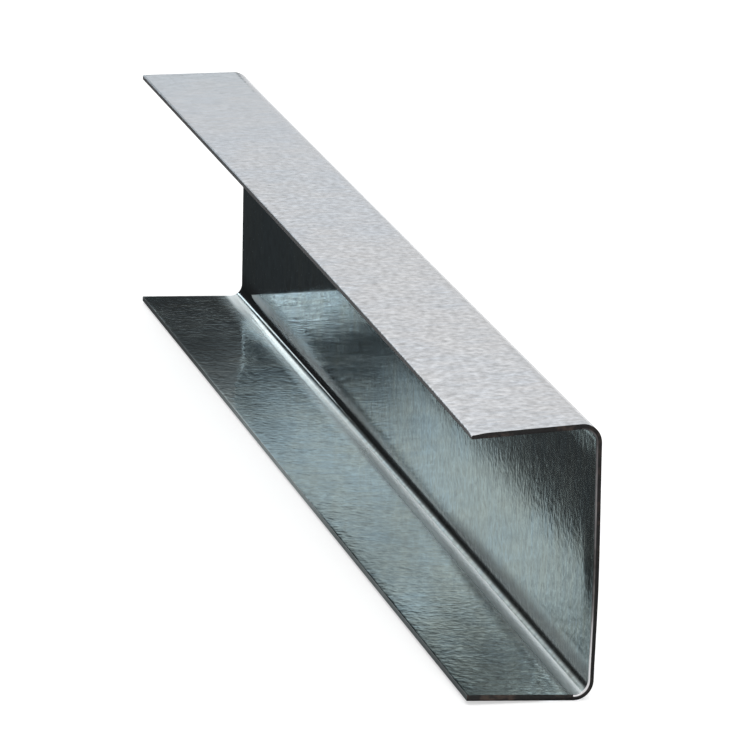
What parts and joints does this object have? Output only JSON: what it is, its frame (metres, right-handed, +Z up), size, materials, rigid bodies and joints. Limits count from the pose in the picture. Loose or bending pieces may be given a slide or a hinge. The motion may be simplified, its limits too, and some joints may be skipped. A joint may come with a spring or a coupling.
{
  "type": "plain channel purlin",
  "caption": "Length of cold-formed galvanised steel channel with an upright web, equal unlipped flanges and rounded bends, for use as a purlin, rail or stud.",
  "frame": {"origin": "centre of the bounding box at its bottom: on the floor, at the middle of the length and of the flange width", "axes": "+X along the length, +Y from the free edges towards the back of the web, +Z up from the bottom flange to the top flange"},
  "size_m": [0.6, 0.046, 0.1],
  "materials": {
    "galvanised_steel": "galvanised, satin, with a fine spangle and light roll marks"
  },
  "bodies": {
    "root": {"channel": "galvanised_steel"}
  },
  "joints": []
}
